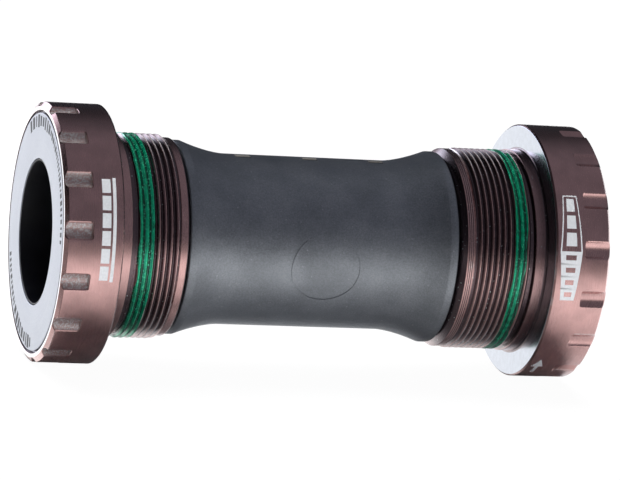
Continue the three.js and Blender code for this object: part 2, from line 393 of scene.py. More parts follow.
def cover_material():
    """Silver cover: near-white satin with a fine sparkle and faint rings."""
    s = Shader("silver_cover")
    sparkle = s.noise(s.place(), 7000.0, 2.0, 0.8)
    rings = s.noise(s.turning_vector(9000, 2), 1.0, 2.0)
    cloud = s.noise(s.place(), 200.0, 2.0)
    color = s.mix(s.remap(sparkle, 0.35, 0.65), (0.48, 0.505, 0.56, 1), (0.58, 0.61, 0.67, 1))
    color = s.mix(s.remap(cloud, 0.35, 0.65, 0.0, 0.2), color, (0.44, 0.465, 0.53, 1))
    cut = s.cut()
    # Painted shade: where the cut is low, on the rim, the disc is painted near black for the gap round its
    # face.
    color = s.mix(s.remap(cut, -0.9, -0.1, 0.95, 0.0), color, (0.02, 0.02, 0.03, 1))
    rough = s.remap(rings, 0.3, 0.7, 0.34, 0.46)
    normal = s.bump(s.plus(sparkle, rings), 0.000006, 0.5)
    return s.finish(principled(s, color, 0.75, rough, normal))


def sleeve_material():
    """Moulded slate grey nylon: fine grain, small pale specks and faint flow lines along the tube."""
    s = Shader("moulded_nylon")
    grain = s.noise(s.place(), 3400.0, 3.0, 0.75)
    stretched = s.node("Mapping", {"Vector": s.place(), "Scale": (60.0, 900.0, 900.0)}).outputs[0]
    flow = s.noise(stretched, 1.0, 3.0)
    cloud = s.noise(s.place(), 150.0, 3.0)
    cells = s.node("TexVoronoi", {"Vector": s.place(), "Scale": 900.0}).outputs["Distance"]
    speck = s.times(s.remap(cells, 0.10, 0.18, 1.0, 0.0), s.remap(grain, 0.5, 0.6))
    color = s.mix(s.remap(cloud, 0.35, 0.65), (0.020, 0.023, 0.029, 1), (0.028, 0.031, 0.038, 1))
    color = s.mix(s.remap(flow, 0.35, 0.7, 0.0, 0.35), color, (0.040, 0.043, 0.050, 1))
    color = s.mix(s.remap(grain, 0.38, 0.6, 0.4, 0.0), color, (0.008, 0.009, 0.012, 1))
    color = s.mix(s.times(speck, 0.7), color, (0.22, 0.23, 0.24, 1))
    rough = s.remap(grain, 0.3, 0.7, 0.36, 0.48)
    height = s.plus(grain, s.times(flow, 0.3))
    normal = s.bump(height, 0.00006, 0.8)
    shine = s.remap(grain, 0.36, 0.64, 0.44, 0.60)
    shine = s.times(shine, s.remap(cloud, 0.35, 0.65, 0.88, 1.12))
    gloss = {"IOR": 2.9, "Specular_IOR_Level": shine, "Specular_Tint": (0.90, 0.95, 1.0, 1)}
    return s.finish(principled(s, color, 0.0, rough, normal, **gloss))


def thread_lock_material():
    """Dried thread-lock film: glossy green with glittering specks and painted shade in its grooves."""
    s = Shader("thread_lock")
    blot = s.noise(s.place(), 900.0, 4.0, 0.6)
    cut = s.cut()
    glitter = s.node("TexVoronoi", {"Vector": s.place(), "Scale": 5200.0}).outputs["Color"]
    pick = s.node("SeparateColor", {0: glitter}).outputs[0]
    color = s.mix(s.remap(blot, 0.35, 0.65), (0.0, 0.26, 0.13, 1), (0.002, 0.50, 0.25, 1))
    # Painted shade: the film is painted near black in the thread grooves.
    color = s.mix(s.remap(cut, -1.15, -0.65, 0.92, 0.0), color, (0.0, 0.02, 0.015, 1))
    color = s.mix(s.remap(pick, 0.92, 0.97, 0.0, 0.6), color, (0.15, 0.90, 0.55, 1))
    rough = s.remap(blot, 0.3, 0.7, 0.14, 0.24)
    normal = s.bump(s.plus(blot, s.times(pick, 0.3)), 0.00004, 0.6)
    coat = {"Coat_Weight": 0.6, "Coat_Roughness": 0.08, "Coat_IOR": 1.6}
    return s.finish(principled(s, color, 0.65, rough, normal, **coat))


def plastic_material(name, tone, roughness):
    """Dark moulded plastic or rubber with a fine grain."""
    s = Shader(name)
    grain = s.noise(s.place(), 4200.0, 3.0, 0.6)
    cloud = s.noise(s.place(), 300.0, 2.0)
    color = s.mix(s.remap(cloud, 0.35, 0.65), rgba(tone, 0.8), rgba(tone, 1.3))
    rough = s.remap(grain, 0.3, 0.7, roughness - 0.06, roughness + 0.06)
    return s.finish(principled(s, color, 0.0, rough, s.bump(grain, 0.00001, 0.5)))


def steel_material():
    """Ground and lapped bearing steel with hair-fine grinding lines."""
    s = Shader("bearing_steel")
    lines = s.noise(s.turning_vector(45000, 4), 1.0, 2.0)
    color = s.mix(s.remap(lines, 0.3, 0.7), (0.55, 0.56, 0.58, 1), (0.68, 0.69, 0.71, 1))
    rough = s.remap(lines, 0.3, 0.7, 0.14, 0.24)
    return s.finish(principled(s, color, 1.0, rough, s.bump(lines, 0.000003, 0.5)))


def print_material(name, tone):
    """Thin fired-on marking with slightly uneven cover."""
    s = Shader(name)
    cover = s.noise(s.place(), 3000.0, 3.0, 0.7)
    color = s.mix(s.remap(cover, 0.35, 0.65), rgba(tone, 0.88), rgba(tone))
    rough = s.remap(cover, 0.3, 0.7, 0.45, 0.6)
    return s.finish(principled(s, color, 0.0, rough, s.bump(cover, 0.000004, 0.5)))


BROWN = (0.55, 0.305, 0.28)
DRIVE_ANODISED = anodised_material("drive_anodised", BROWN, 0.27, 0.0)
NON_DRIVE_ANODISED = anodised_material("non_drive_anodised", BROWN, 0.27, 0.85)
FACED = bare_aluminium_material("faced_aluminium", (0.90, 0.90, 0.93))
SHELL_SIDE = bare_aluminium_material("shell_side_aluminium", (0.52, 0.55, 0.61))
COVER = cover_material()
NYLON = sleeve_material()
THREAD_LOCK = thread_lock_material()
BUSH = plastic_material("black_acetal", (0.004, 0.004, 0.006), 0.42)
RUBBER = plastic_material("black_nitrile", (0.008, 0.008, 0.009), 0.6)
PHENOLIC = plastic_material("brown_phenolic", (0.22, 0.12, 0.045), 0.5)
STEEL = steel_material()
WHITE_PRINT = print_material("white_marking", (0.93, 0.95, 0.96))
GREY_PRINT = print_material("grey_marking", (0.03, 0.035, 0.045))
PALE_NYLON = plastic_material("rubbed_nylon", (0.09, 0.085, 0.078), 0.6)


# ---- cups ----
def cup_angles():
    """Column angles round a cup, closer together at the sides of each notch."""
    half_angle = math.degrees(math.asin(NOTCH_HALF / FLANGE_R))
    near = [-0.9, -0.45, -0.15, 0.12, 0.4, 0.9]
    right = [half_angle - d for d in near]
    offsets = [0, 1, 2] + sorted(right) + [6.2, 7.8, 9.5]
    period = 360 / NOTCHES
    ring = sorted([-o for o in offsets if o] + offsets + [-period / 2])
    angles = [math.radians(period * (k + 0.5) + o) for k in range(NOTCHES) for o in ring]
    return angles + [angles[0] + TURN]


def notch_share(u, angle):
    """The radius of the nearest notch's trough at a point of the flange, and its share of the cut.

    The share rises from 0 to 1 across the notch's end wall."""
    period = TURN / NOTCHES
    off = (angle % period) - period / 2
    trough_r = (NOTCH_HALF**2 + NOTCH_DEPTH**2) / (2 * NOTCH_DEPTH)
    middle_r = FLANGE_R - NOTCH_DEPTH + trough_r
    side = middle_r * math.sin(off)
    if abs(side) >= trough_r or u < NOTCH_END - 0.3:
        return FLANGE_R + 1, 0
    floor_r = middle_r * math.cos(off) - math.sqrt(trough_r**2 - side**2)
    corner = 0.5
    inset = max(0, abs(FLANGE_R * off) - (NOTCH_HALF - corner))
    end = NOTCH_END + corner - math.sqrt(max(0, corner**2 - min(corner, inset) ** 2))
    return floor_r, smooth_step((u - end + 0.06) / 0.22)


def notched(u, r):
    """A row of the flange at (u, r), dipping into each notch with softened edges."""
    soft = 0.07

    def row(angle):
        floor_r, share = notch_share(u, angle)
        gap = r - floor_r
        if gap <= -soft or share == 0:
            return u, r, 0
        depth = gap if gap >= soft else (gap + soft) ** 2 / (4 * soft)
        cut = share * depth
        fully_cut = 0.3
        return u, r - cut, min(1, cut / fully_cut)

    return row


# one turn of the thread, as (share of the pitch, share of the depth)
THREAD_FORM = [
    (0.00, 0.00), (0.06, 0.01), (0.11, 0.07), (0.39, 0.93), (0.44, 0.99),
    (0.50, 1.00), (0.56, 0.99), (0.61, 0.93), (0.89, 0.07), (0.94, 0.01),
]


def thread_rows(side, low_of, high_of, radius_of):
    """Rows along the helix, from the highest u to the lowest, held inside two bounds at each angle."""
    per_turn = len(THREAD_FORM)
    turns = math.ceil((side.reach + side.crest) / PITCH) + 2
    base = side.crest - (turns - 0.5) * PITCH
    rows = []
    for j in range((turns + 3) * per_turn, -1, -1):
        phase, height = THREAD_FORM[j % per_turn]
        offset = base + (j // per_turn + phase) * PITCH

        def row(angle, offset=offset, height=height):
            climbed = offset + side.helix * angle / TURN * PITCH
            u = min(high_of(angle), max(low_of(angle), climbed))
            return u, radius_of(u, angle, height), height + ROOT_CUT

        rows.append(row)
    return rows


def thread_radius(side):
    """Radius of the bare thread: full depth, fading to the root at each end."""

    def radius(u, angle, height):
        fade = smooth_step((u - side.thread_end) / 0.5) * smooth_step((side.thread_start - u) / 0.5)
        return ROOT_R + THREAD_DEPTH * height * fade

    return radius


def cup_outline(side):
    """Corners of the cup's half section, starting at the inner edge of the outer face."""
    end = side.thread_end
    seat_r = BEARING_OUTER_R + 0.05
    chamfer_u, chamfer_r = side.end_chamfer
    return [
        (FLANGE_WIDTH, RECESS_R, 0.05),
        (FLANGE_WIDTH, FLANGE_R - NOTCH_DEPTH, 0.04),
        (FLANGE_WIDTH - 0.55, FLANGE_R, 0.06),
        (0.3, FLANGE_R, 0.08),
        (0, FLANGE_R - 0.3, 0.06),
        (0, NECK_R, 0.4),
        (side.neck_end, NECK_R, 0.1),
        (side.neck_end - 0.12, ROOT_R - 0.1, 0.12),
        (side.thread_start, ROOT_R - 0.1, 0.0),
        (side.thread_start, ROOT_R, 0.0),
        (end, ROOT_R, 0.0),
        (end - 0.12, side.lead_r, 0.08),
        (-(side.reach - chamfer_u), side.lead_r, 0.08),
        (-side.reach, side.lead_r - chamfer_r, 0.08),
        (-side.reach, BARREL_BORE_R, 0.15),
        (SEAT_START, BARREL_BORE_R, 0.1),
        (SEAT_START, seat_r, 0.05),
        (SEAT_START + BEARING_WIDTH, seat_r, 0.0),
        (SEAT_START + BEARING_WIDTH, CAVITY_R, 0.0),
        (COVER_SEAT, CAVITY_R, 0.0),
        (COVER_SEAT, RECESS_R, 0.0),
    ]


def between(start, end, step):
    """Points on the way from start to end, no further apart than step."""
    count = max(1, math.ceil(math.dist(start, end) / step))
    return [tuple(a + (b - a) * i / count for a, b in zip(start, end)) for i in range(1, count)]


def flange_fill(start, end):
    """Extra rows on the flange: close together on the bevel and at the notches' end walls."""
    if start[1] < FLANGE_R - NOTCH_DEPTH or end[0] > start[0]:
        return []
    if start[0] > FLANGE_WIDTH - 0.6 and end[1] > start[1]:
        return between(start, end, 0.12)
    if start[0] - end[0] < 1:
        return []
    wall_top = (NOTCH_END + 0.9, FLANGE_R)
    wall_foot = (NOTCH_END - 0.3, FLANGE_R)
    close = between(wall_top, wall_foot, 0.06)
    return between(start, wall_top, 1.0) + close + between(wall_foot, end, 1.0)


def turned_lines(side, count):
    """Rows for fine turned grooves on the lead ring, with painted shade in each groove."""
    start = side.thread_end - 0.25
    end = side.end_chamfer[0] - side.reach + 0.15
    groove_depth = 0.05
    rows = []
    for i in range(count):
        middle = start + (end - start) * (i + 0.5) / count
        for offset, share in ((0.08, 0), (0.04, 0.8), (0, 1), (-0.04, 0.8), (-0.08, 0)):
            rows.append(plain(middle + offset, side.lead_r - groove_depth * share, PAINTED_SHADE_CUT * share))
    return rows


def shade(side, u, r):
    """A turned row's cut, which the shaders paint as shade: low in the undercut, under the flange, on the
    end chamfer and in the recess.
    """
    in_undercut = side.thread_start - 0.01 < u < side.neck_end - 0.05 and r < NECK_R - 0.1
    in_corner = -0.35 < u < 0.01 and r < NECK_R + 0.41
    on_chamfer = u < side.end_chamfer[0] - side.reach - 0.02
    in_recess = u > COVER_SEAT - 0.01 and r < RECESS_R + 0.01
    if in_undercut or in_corner or on_chamfer or in_recess or u == side.thread_end:
        return PAINTED_SHADE_CUT
    return side.neck_shade if side.neck_end - 0.2 < u < 0 else 0


def make_cup(side, material):
    """A whole cup. Its materials are the anodising, the faced outer rim and the bare shell side."""
    outline = rounded(cup_outline(side))
    start = side.thread_start
    end = side.thread_end
    rows = []
    bands = []
    for i, point in enumerate(outline):
        following = outline[(i + 1) % len(outline)]
        is_thread = abs(point[0] - start) < 1e-6 and abs(following[0] - end) < 1e-6
        flat_face = abs(point[0] - following[0]) < 1e-6 and point[0] in (0, FLANGE_WIDTH)
        on_shell_side = point[0] < 0.1
        inner_edge = on_shell_side and point[1] > FLANGE_R - 0.4
        faced = point[1] > NECK_R and (flat_face or inner_edge)
        band = 1 + on_shell_side if faced else 0
        on_flange = point[1] > FLANGE_R - NOTCH_DEPTH - 0.01 and point[0] > 1
        row = notched(*point) if on_flange else plain(*point, shade(side, *point))
        extra = [notched(*q) for q in flange_fill(point, following)]
        if is_thread:
            extra = thread_rows(side, lambda a: end, lambda a: start, thread_radius(side))
        if point[1] == following[1] and point[1] > side.lead_r - 0.001 and point[0] < end:
            extra = turned_lines(side, side.turned_lines)
        rows += [row] + extra
        bands += [band] * (1 + len(extra))
    piece = revolve(side.piece("cup_body"), rows, cup_angles(), side.x, lambda j: bands[j], 38)
    finished(piece, [material, FACED, SHELL_SIDE], side.piece("cup"), "anodised_cup", side.piece("cup"))


def make_thread_lock(side, low, high, wander, depth):
    """A dried film with a wandering edge over part of the thread. depth is the share of a groove filled."""
    inner = ROOT_R - 0.25
    bare = thread_radius(side)

    def low_of(angle):
        return low + wander * math.sin(2 * angle + 1) + 0.07 * math.sin(9 * angle)

    def high_of(angle):
        return high + wander * math.sin(2 * angle + 0.6) + 0.05 * math.sin(13 * angle)

    def radius(u, angle, height):
        edge = smooth_step((u - low_of(angle)) / 0.25) * smooth_step((high_of(angle) - u) / 0.25)
        patch = noise.noise(Vector((u * 0.7, 2.5 * math.cos(angle), 2.5 * math.sin(angle))))
        fill = depth + 0.15 * patch
        filled = ROOT_R + THREAD_DEPTH * (fill + (1 - fill) * height) + 0.04
        return inner + (max(bare(u, angle, height) + 0.03, filled) - inner) * edge

    rows = thread_rows(side, low_of, high_of, radius)
    rows.append(lambda angle: (low_of(angle), inner - 0.1, 0))
    rows.append(lambda angle: (high_of(angle), inner - 0.1, 0))
    piece = revolve(side.piece("thread_lock"), rows, even_angles(256), side.x, sharp=60)
    finished(piece, THREAD_LOCK, side.piece("cup"), "thread_lock")


# ---- covers, bushes and bearings ----
def make_cover(side):
    """The silver disc, with its rim marked as cut so that it is painted as a dark line of shade round the
    face.
    """
    back = COVER_SEAT + 0.05
    rim_face = back + 0.35
    rim_r = RECESS_R - 0.05
    face_r = 20.1
    bore = SPINDLE_R + 0.4
    corners = [
        (back, bore, 0.05), (back, rim_r, 0.03), (rim_face, rim_r, 0.03),
        (rim_face, face_r, 0.03), (FLANGE_WIDTH, face_r, 0.12), (FLANGE_WIDTH, bore, 0.1),
    ]

    def rim_painted_shade(u, r):
        return -1 if r > face_r + 0.05 else 0

    piece = lathe(side.piece("cover_plate"), corners, side.x, 256, cut_of=rim_painted_shade)
    finished(piece, COVER, side.piece("cup"), "silver_cover", side.piece("cover_disc"))


def make_bush(side):
    bore = SPINDLE_R + 0.05
    lip = SPINDLE_R + 0.25
    barrel = BEARING_BORE_R - 0.05
    flange_r = 14
    start = SEAT_START + 0.2
    flange_start = SEAT_START + BEARING_WIDTH + 0.05
    flange_end = flange_start + 0.4
    tip = FLANGE_WIDTH - 0.15
    corners = [
        (start, bore, 0.1), (start, barrel, 0.1), (flange_start, barrel, 0.02),
        (flange_start, flange_r, 0.05), (flange_end, flange_r, 0.1), (flange_end, lip, 0.05),
        (tip, lip, 0.03), (tip, bore, 0.06),
    ]
    piece = lathe(side.piece("bush_turned"), corners, side.x, 256)
    finished(piece, BUSH, side.piece("rotor"), "bush_plastic", side.piece("spindle_bush"))


def bearing_x(side):
    return lambda u: side.x(BEARING_MIDDLE + u)


def race_outline(back_r, shoulder_r, outward):
    """A bearing ring's half section: its back, and a seal groove on each side of the ball groove."""
    half = BEARING_WIDTH / 2
    seal_groove_r = shoulder_r + outward * 0.15
    shoulder = [
        (-half, back_r, 0.3), (-half, shoulder_r, 0.12), (-2.75, shoulder_r, 0.05),
        (-2.7, seal_groove_r, 0.05), (-2.3, seal_groove_r, 0.05), (-2.25, shoulder_r, 0.05),
    ]
    groove_r = 1.95
    reach = math.acos(abs(shoulder_r - BALL_PITCH_R) / groove_r)
    steps = 20
    groove = []
    for i in range(steps + 1):
        angle = (2 * i / steps - 1) * reach
        r = BALL_PITCH_R + outward * groove_r * math.cos(angle)
        groove.append((groove_r * math.sin(angle), r, 0))
    mirrored = [(-u, r, fillet) for u, r, fillet in reversed(shoulder)]
    return shoulder + groove + mirrored


def make_ball(side, i):
    bm = bmesh.new()
    bmesh.ops.create_icosphere(bm, subdivisions=4, radius=BALL_R * MM)
    centre = at(side.x(BEARING_MIDDLE), BALL_PITCH_R, TURN * i / BALLS)
    bmesh.ops.translate(bm, verts=bm.verts, vec=centre)
    piece = mesh_object(side.piece(f"steel_ball_{i + 1:02d}"), bm, 60)
    finished(piece, STEEL, side.piece("ball_set"), "bearing_steel", side.piece(f"ball_{i + 1:02d}"))


def make_cage(side):
    """Ribbon cage: a row of cells, each with a round window. A solidify modifier gives it its wall."""
    bm = bmesh.new()
    half_u = 2.3
    half_s = BALL_PITCH_R * math.pi / BALLS
    window = BALL_R + 0.15
    rings = 4
    spokes = 32
    for cell in range(BALLS):
        grid = []
        for ring in range(rings + 1):
            share = ring / rings
            line = []
            for k in range(spokes):
                turn = TURN * k / spokes
                du = math.cos(turn)
                ds = math.sin(turn)
                stretch = min(half_u / max(abs(du), 1e-9), half_s / max(abs(ds), 1e-9))
                reach = window + (stretch - window) * share
                angle = TURN * cell / BALLS + reach * ds / BALL_PITCH_R
                line.append(bm.verts.new(at(side.x(BEARING_MIDDLE + reach * du), BALL_PITCH_R, angle)))
            grid.append(line)
        for inner, outer in zip(grid, grid[1:]):
            for k in range(spokes):
                nxt = (k + 1) % spokes
                bm.faces.new((inner[k], inner[nxt], outer[nxt], outer[k]))
    piece = mesh_object(side.piece("ribbon_cage"), bm, 60)
    thick = piece.modifiers.new("wall", "SOLIDIFY")
    thick.thickness = 1.1 * MM
    thick.offset = 0
    edges = piece.modifiers.new("edges", "BEVEL")
    edges.width = 0.12 * MM
    edges.segments = 2
    finished(piece, PHENOLIC, side.piece("ball_set"), "ball_cage", side.piece("ball_cage"))


def make_seal(side, label, direction):
    """A lip seal with a shallow dish in its face. direction is 1 outboard and -1 inboard."""
    half = BEARING_WIDTH / 2
    face = direction * (half - 0.15)
    dish = direction * (half - 0.27)
    back = direction * (half - 0.75)
    lip_r = INNER_SHOULDER_R + 0.2
    rim_r = OUTER_SHOULDER_R - 0.05
    dish_in, dish_out = 15.0, 16.2
    corners = [
        (back, lip_r, 0.05), (back, rim_r, 0.1), (face, rim_r, 0.15),
        (face, dish_out + 0.1, 0.05), (dish, dish_out, 0.05), (dish, dish_in, 0.05),
        (face, dish_in - 0.1, 0.05), (face, lip_r, 0.12),
    ]
    piece = lathe(side.piece(label + "_lip_seal"), corners, bearing_x(side))
    finished(piece, RUBBER, side.piece("cup"), "black_rubber", side.piece(label + "_seal"))


def make_bearing(side):
    outer_outline = race_outline(BEARING_OUTER_R, OUTER_SHOULDER_R, 1)
    outer = lathe(side.piece("outer_race"), outer_outline, bearing_x(side))
    finished(outer, STEEL, side.piece("cup"), "bearing_steel", side.piece("outer_ring"))
    inner_outline = race_outline(BEARING_BORE_R, INNER_SHOULDER_R, -1)
    inner = lathe(side.piece("inner_race"), inner_outline, bearing_x(side))
    finished(inner, STEEL, side.piece("rotor"), "bearing_steel", side.piece("inner_ring"))
    for i in range(BALLS):
        make_ball(side, i)
    make_cage(side)
    make_seal(side, "outboard", 1)
    make_seal(side, "inboard", -1)


# ---- sleeve and O-rings ----
SLEEVE_LOW, SLEEVE_HIGH = (corner.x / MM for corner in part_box("center_sleeve"))
SLEEVE_MIDDLE = (SLEEVE_LOW + SLEEVE_HIGH) / 2
SPIGOT_LENGTH = 7.5
SHOULDER = (SLEEVE_HIGH - SLEEVE_LOW) / 2 - SPIGOT_LENGTH
WAIST_R = 14.6
LAND_R = 16.55
SPIGOT_R = 14.8
SLEEVE_BORE_R = 13
O_RING_SECTION_R = 0.55
O_RING_R = BARREL_BORE_R - 0.15 - O_RING_SECTION_R
GROOVE_MIDDLE = SHOULDER + 4.5


def sleeve_half():
    """Corners of the sleeve's right half, from the waist out to the spigot's end and back to the bore."""
    waist_end = 14.2
    land_start = SHOULDER - 1.35
    steepness = 1.6
    steps = 28
    flare = []
    for i in range(steps + 1):
        t = i / steps
        r = WAIST_R + t**steepness * (LAND_R - WAIST_R)
        flare.append((waist_end + t * (land_start - waist_end), r, 0))
    groove_half = O_RING_SECTION_R + 0.2
    groove_in = GROOVE_MIDDLE - groove_half
    groove_out = GROOVE_MIDDLE + groove_half
    groove_r = O_RING_R - O_RING_SECTION_R - 0.1
    end = SHOULDER + SPIGOT_LENGTH
    return flare + [
        (SHOULDER - 0.2, LAND_R, 0.08), (SHOULDER, LAND_R - 0.2, 0.08), (SHOULDER, SPIGOT_R, 0.2),
        (groove_in, SPIGOT_R, 0.08), (groove_in, groove_r, 0.1),
        (groove_out, groove_r, 0.1), (groove_out, SPIGOT_R, 0.08),
        (end - 0.5, SPIGOT_R, 0.15), (end, SPIGOT_R - 0.4, 0.1),
        (end, SLEEVE_BORE_R + 0.2, 0.15), (SHOULDER - 2, SLEEVE_BORE_R, 1.0),
    ]


def make_sleeve():
    right = sleeve_half()
    left = [(-u, r, fillet) for u, r, fillet in reversed(right)]
    piece = lathe("sleeve_moulding", right + left, lambda u: SLEEVE_MIDDLE + u, 256)
    finished(piece, NYLON, "sleeve", "sleeve_plastic", "center_sleeve")


def make_o_ring(side):
    steps = 24
    centre = SLEEVE_MIDDLE + side.sign * GROOVE_MIDDLE
    corners = []
    for i in range(steps):
        angle = TURN * i / steps
        r = O_RING_R + O_RING_SECTION_R * math.sin(angle)
        corners.append((O_RING_SECTION_R * math.cos(angle), r, 0))
    piece = lathe(side.piece("seal_ring"), corners, lambda u: centre + u, sharp=60)
    finished(piece, RUBBER, side.piece("o_ring"), "black_rubber", side.piece("o_ring"))


# ---- markings: thin plates bent round a cylinder or laid on a face ----
CAMERA_SIDE = math.radians(80)
MARK_RING_R = 18.7


def ribbon(bm, left, right, place, thickness, capped=True):
    """A thin solid strip between two matching edges.

    place maps (across, along, height) to a point in metres."""
    longest_step = 0.4
    fine_left = [left[0]]
    fine_right = [right[0]]
    for i in range(len(left) - 1):
        length = max(math.dist(left[i], left[i + 1]), math.dist(right[i], right[i + 1]))
        count = max(1, math.ceil(length / longest_step))
        for k in range(1, count + 1):
            t = k / count
            fine_left.append(tuple(a + (b - a) * t for a, b in zip(left[i], left[i + 1])))
            fine_right.append(tuple(a + (b - a) * t for a, b in zip(right[i], right[i + 1])))
    sections = []
    for a, b in zip(fine_left, fine_right):
        corners = [(a, -thickness), (b, -thickness), (b, thickness), (a, thickness)]
        sections.append([bm.verts.new(place(p[0], p[1], h)) for p, h in corners])
    for one, two in zip(sections, sections[1:]):
        for k in range(4):
            nxt = (k + 1) % 4
            bm.faces.new((one[k], one[nxt], two[nxt], two[k]))
    if capped:
        bm.faces.new(sections[0])
        bm.faces.new(sections[-1])


def bar(u0, u1, s0, s1, slant=0.0):
    """Edges of a straight bar from u0 to u1 across and s0 to s1 along, with its ends slanted."""
    return [(u0, s0), (u0, s1)], [(u1, s0 + slant), (u1, s1 + slant)]


def marking(name, side, strips, place, material, thickness=0.012):
    bm = bmesh.new()
    for left, right in strips:
        ribbon(bm, left, right, place, thickness)
    finished(mesh_object(name, bm, 40), material, side.piece("cup"), "anodised_cup")


def on_flange(side):
    """Places (u, s) on the flange's cylinder: s is the length round it, upwards from the camera's side."""
    lift = 0.008

    def place(u, s, height):
        return at(side.x(u), FLANGE_R + lift + height, CAMERA_SIDE - s / FLANGE_R)

    return place


def on_cover(side):
    """Places (r, s) on the cover's face: s is the length round it at the middle radius of the marks."""
    lift = 0.005

    def place(r, s, height):
        return at(side.x(FLANGE_WIDTH + lift + height), r, s / MARK_RING_R)

    return place


def on_sleeve(x, s, height):
    """Places (x, s) on the sleeve's waist."""
    return at(SLEEVE_MIDDLE + x, WAIST_R + height, CAMERA_SIDE - s / WAIST_R)


def mark_non_drive_flange():
    """A plain gauge: one long rail beside a column of equal blocks."""
    side = NON_DRIVE
    low, high = -8.0, 9.6
    strips = [bar(1.45, 2.0, low, high)]
    blocks = 6
    pitch = (high - low) / blocks
    for i in range(blocks):
        strips.append(bar(2.35, 3.8, low + i * pitch + 0.25, low + (i + 1) * pitch - 0.25))
    marking("non_drive_gauge_mark", side, strips, on_flange(side), WHITE_PRINT)


def mark_drive_flange():
    """A plain tapered panel, solid with windows below and outlined with blocks above, and an arrow."""
    side = DRIVE
    place = on_flange(side)
    middle, wide, narrow = 2.75, 2.0, 1.25
    low, join, high = -8.45, 0.1, 9.9

    def half_at(s):
        far = low if s < join else high
        return wide + (narrow - wide) * abs(s - join) / abs(far - join)

    def slab(s0, s1, left, right):
        """A strip whose edges are the given shares of the panel's half width."""
        edge_left = [(middle + left * half_at(s), s) for s in (s0, s1)]
        edge_right = [(middle + right * half_at(s), s) for s in (s0, s1)]
        return edge_left, edge_right

    windows = 4
    gap = 0.85
    pitch = (join - low) / windows
    solid = []
    for i in range(windows):
        start = low + i * pitch
        cut = start + (pitch - gap) / 2
        solid += [slab(start, cut, -1, 1), slab(cut + gap, start + pitch, -1, 1)]
        solid += [slab(cut, cut + gap, -1, -0.5), slab(cut, cut + gap, 0.5, 1)]
    marking("drive_panel_solid", side, solid, place, WHITE_PRINT)
    line = 0.12
    outline = [
        slab(join, high, -1, -1 + line),
        slab(join, high, 1 - line, 1),
        slab(high - 0.2, high, -1, 1),
    ]
    blocks = 3
    pitch = (high - join - 0.8) / blocks
    for i in range(blocks):
        start = join + 0.6 + i * pitch
        outline.append(slab(start + 0.3, start + pitch - 0.4, -0.5, 0.5))
    marking("drive_panel_outline", side, outline, place, WHITE_PRINT)
    tail, neck, tip = -28.0, -25.0, -22.4
    arrow = [bar(1.65, 2.25, tail, neck), ([(0.9, neck), (1.94, tip)], [(3.0, neck), (1.96, tip)])]
    marking("drive_arrow_mark", side, arrow, place, WHITE_PRINT)


def mark_cover(side):
    """Short dashes of changing length in two arcs round the cover. The first ones of each arc are tall."""
    pick = random.Random(5)
    strips = []
    for start, end in ((-30, 86), (172, 250)):
        s = math.radians(start) * MARK_RING_R
        last = math.radians(end) * MARK_RING_R
        tall = s + 14
        while s < last:
            size = 1.7 if s < tall else 1
            length = size * pick.uniform(0.35, 0.8)
            half = size * pick.uniform(0.45, 0.65)
            strips.append(bar(MARK_RING_R - half, MARK_RING_R + half, s, s + length))
            s += length + size * pick.uniform(0.35, 0.55)
    marking(side.piece("cover_dashes"), side, strips, on_cover(side), GREY_PRINT, 0.006)


def mark_sleeve():
    """The moulding's ejector ring on the front."""
    bm = bmesh.new()
    ring_r, half_line = 6.0, 0.13
    centre_x, centre_s = 1.0, -4.6

    def circle(r):
        return [(r * math.cos(t) + centre_x, r * math.sin(t) + centre_s) for t in even_angles(96)]

    ribbon(bm, circle(ring_r - half_line), circle(ring_r + half_line), on_sleeve, 0.1, capped=False)
    finished(mesh_object("sleeve_ejector_ring", bm, 40), NYLON, "sleeve", "sleeve_plastic")


def make_pips():
    """Three worn pads on top of the sleeve, rubbed pale."""
    bm = bmesh.new()
    spacing, middle = 11.9, 0.3
    half_x, half_s = 1.3, 0.6
    s = WAIST_R * math.radians(76)
    for i in (-1, 0, 1):
        x = middle + spacing * i
        ribbon(bm, *bar(x - half_x, x + half_x, s - half_s, s + half_s), on_sleeve, 0.1)
    finished(mesh_object("sleeve_pads", bm, 40), PALE_NYLON, "sleeve", "sleeve_plastic")


for a_side, finish in ((DRIVE, DRIVE_ANODISED), (NON_DRIVE, NON_DRIVE_ANODISED)):
    make_cup(a_side, finish)
    make_cover(a_side)
    make_bush(a_side)
    make_bearing(a_side)
    make_o_ring(a_side)
    mark_cover(a_side)
make_thread_lock(DRIVE, -5.75, -3.2, 0.22, 0.5)
make_thread_lock(NON_DRIVE, -6.55, -3.5, 0.05, 0.28)
make_sleeve()
mark_sleeve()
make_pips()
mark_non_drive_flange()
mark_drive_flange()


# ---- surroundings: a white table, a soft light from above, and dimmer walls ----
FLOOR_LEVEL = -FLANGE_R * MM
WHITE = (1, 1, 1, 1)


